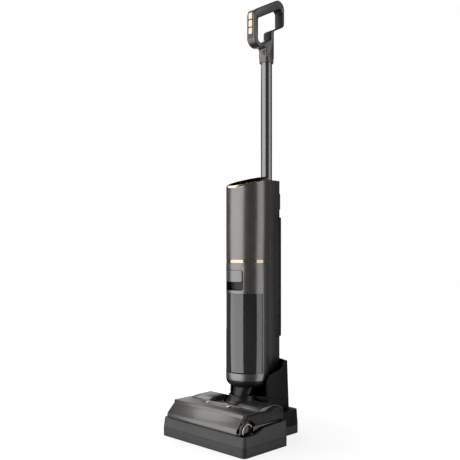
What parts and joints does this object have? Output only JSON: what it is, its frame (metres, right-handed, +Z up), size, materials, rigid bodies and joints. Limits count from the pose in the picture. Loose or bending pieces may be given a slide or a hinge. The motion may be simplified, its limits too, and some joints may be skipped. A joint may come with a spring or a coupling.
{
  "type": "floor scrubber",
  "caption": "Upright cordless wet dry floor scrubber with a roller head, water tanks, pole and loop handle, standing in its charging and self-cleaning dock.",
  "frame": {"origin": "floor level, under the middle of the whole object's box", "axes": "+X the machine's right, +Y its rear, +Z up; it stands upright in its dock and faces -Y"},
  "size_m": [0.28, 0.291, 1.1076],
  "materials": {
    "body_lacquer": "metallic gunmetal lacquer, satin",
    "module_plastic": "fine moulded texture, dark graphite",
    "handle_lacquer": "metallic graphite lacquer, satin",
    "pole_metal": "graphite anodised tube, satin",
    "gold_trim": "electroplated champagne gold",
    "display_black": "glossy black cover glass",
    "button_gloss": "polished black",
    "grip_rubber": "soft touch, matt",
    "smoked_window": "smoked clear tank wall, polished",
    "clean_smoke": "very dark smoked clear tank, polished",
    "tank_black": "black moulded, satin",
    "float_white": "white moulded",
    "seal_rubber": "black, matt",
    "head_lacquer": "metallic graphite lacquer, satin",
    "head_black": "black moulded, fine texture",
    "cap_gloss": "black, polished",
    "neck_plastic": "dark grey moulded, satin",
    "dock_satin": "dark grey moulded, satin",
    "dock_black": "black moulded, fine texture",
    "roller_pile": "short dense pile",
    "filter_paper": "pleated filter paper",
    "inner_plastic": "moulded, unfinished",
    "steel": "bright",
    "cast_metal": "die cast",
    "fan_plastic": "moulded",
    "contact_metal": "gold flashed",
    "circuit_board": "green solder mask"
  },
  "bodies": {
    "dock": {"dock_skirt": "dock_black", "dock_feet": "seal_rubber", "dock_tray": "dock_satin", "dock_rear_block": "dock_black", "power_inlet": "dock_black", "dock_board": "circuit_board", "dock_tower": "dock_black", "dock_contacts": "contact_metal"},
    "head": {"head_chassis": "head_black", "head_screws": "steel", "head_top": "head_lacquer", "side_pod": "head_black", "end_cap": "cap_gloss", "end_cap_ring": "gold_trim", "pull_tab": "cap_gloss", "wheel_axles": "steel", "drive_motor": "steel", "suction_duct": "inner_plastic", "scraper": "seal_rubber", "pivot_bracket": "cast_metal"},
    "cover": {"roller_cover": "head_lacquer"},
    "latch_left": {"cover_latch_left": "gold_trim"},
    "latch_right": {"cover_latch_right": "gold_trim"},
    "roller": {"roller_core": "inner_plastic", "roller_sleeve": "roller_pile"},
    "wheel_left": {"rear_wheel_left": "seal_rubber"},
    "wheel_right": {"rear_wheel_right": "seal_rubber"},
    "neck": {"yoke": "cast_metal", "neck_collar": "neck_plastic"},
    "main_body": {"neck_tube": "neck_plastic", "bottom_bowl": "head_black", "lower_deck": "inner_plastic", "body_shell": "body_lacquer", "accent_ring": "gold_trim", "display_rim": "gold_trim", "display_glass": "display_black", "latch_deck": "tank_black", "exhaust_filter": "filter_paper", "motor_housing": "inner_plastic", "suction_motor": "cast_metal", "battery_case": "inner_plastic", "battery_cells": "cast_metal", "main_board": "circuit_board", "water_pump": "inner_plastic", "charge_pads": "contact_metal", "rear_cover": "module_plastic", "pole": "pole_metal", "handle_shell": "handle_lacquer", "handle_liner": "grip_rubber", "button_panel": "button_gloss"},
    "fan": {"fan_rotor": "fan_plastic"},
    "tank_release": {"tank_button": "body_lacquer"},
    "power_key": {"power_button": "gold_trim"},
    "self_clean_key": {"self_clean_button": "gold_trim"},
    "mode_key": {"mode_button": "gold_trim"},
    "dirty_tank": {"dirty_tank_cup": "smoked_window", "tank_lid": "tank_black"},
    "float": {"tank_float": "float_white"},
    "clean_water_tank": {"clean_tank": "clean_smoke", "clean_tank_cap": "seal_rubber"}
  },
  "joints": [
    {"name": "lift_off", "type": "slide", "parent": "dock", "child": "head", "axis": [0, 0, 1], "range_m": [0, 0.45]},
    {"name": "recline", "type": "hinge", "parent": "head", "child": "neck", "pos_m": [0, -0.0025, 0.07], "axis": [-1, 0, 0], "range_deg": [0, 58]},
    {"name": "swivel", "type": "hinge", "parent": "neck", "child": "main_body", "pos_m": [0, -0.0025, 0.09], "axis": [0, 0, 1], "range_deg": [-45, 45]},
    {"name": "cover_lift", "type": "slide", "parent": "head", "child": "cover", "axis": [0, 0, 1], "range_m": [0, 0.05]},
    {"name": "latch_left_slide", "type": "slide", "parent": "cover", "child": "latch_left", "axis": [-1, 0, 0], "range_m": [0, 0.0075], "stiffness_N_per_m": 300},
    {"name": "latch_right_slide", "type": "slide", "parent": "cover", "child": "latch_right", "axis": [1, 0, 0], "range_m": [0, 0.0075], "stiffness_N_per_m": 300},
    {"name": "roller_spin", "type": "hinge", "parent": "head", "child": "roller", "pos_m": [0, -0.116, 0.0545], "axis": [1, 0, 0], "continuous": true},
    {"name": "wheel_left_spin", "type": "hinge", "parent": "head", "child": "wheel_left", "pos_m": [-0.098, -0.022, 0.0485], "axis": [1, 0, 0], "continuous": true},
    {"name": "wheel_right_spin", "type": "hinge", "parent": "head", "child": "wheel_right", "pos_m": [0.098, -0.022, 0.0485], "axis": [1, 0, 0], "continuous": true},
    {"name": "fan_spin", "type": "hinge", "parent": "main_body", "child": "fan", "pos_m": [0, 0.0175, 0.46], "axis": [0, 0, 1], "continuous": true},
    {"name": "tank_release_press", "type": "slide", "parent": "main_body", "child": "tank_release", "axis": [0, 1, 0], "range_m": [0, 0.003], "stiffness_N_per_m": 1200},
    {"name": "power_key_press", "type": "slide", "parent": "main_body", "child": "power_key", "axis": [0, 1, 0], "range_m": [0, 0.001], "stiffness_N_per_m": 1000},
    {"name": "self_clean_key_press", "type": "slide", "parent": "main_body", "child": "self_clean_key", "axis": [0, 1, 0], "range_m": [0, 0.001], "stiffness_N_per_m": 1000},
    {"name": "mode_key_press", "type": "slide", "parent": "main_body", "child": "mode_key", "axis": [0, 1, 0], "range_m": [0, 0.001], "stiffness_N_per_m": 1000},
    {"name": "dirty_tank_pull", "type": "slide", "parent": "main_body", "child": "dirty_tank", "axis": [0, -1, 0], "range_m": [0, 0.11]},
    {"name": "float_rise", "type": "slide", "parent": "dirty_tank", "child": "float", "axis": [0, 0, 1], "range_m": [0, 0.012]},
    {"name": "clean_tank_pull", "type": "slide", "parent": "main_body", "child": "clean_water_tank", "axis": [0, 1, 0], "range_m": [0, 0.08]}
  ],
  "couplings": [
    {"joint": "recline", "follows": "lift_off", "rad_per_m": 2.249},
    {"joint": "swivel", "follows": "lift_off", "rad_per_m": 1.745}
  ]
}
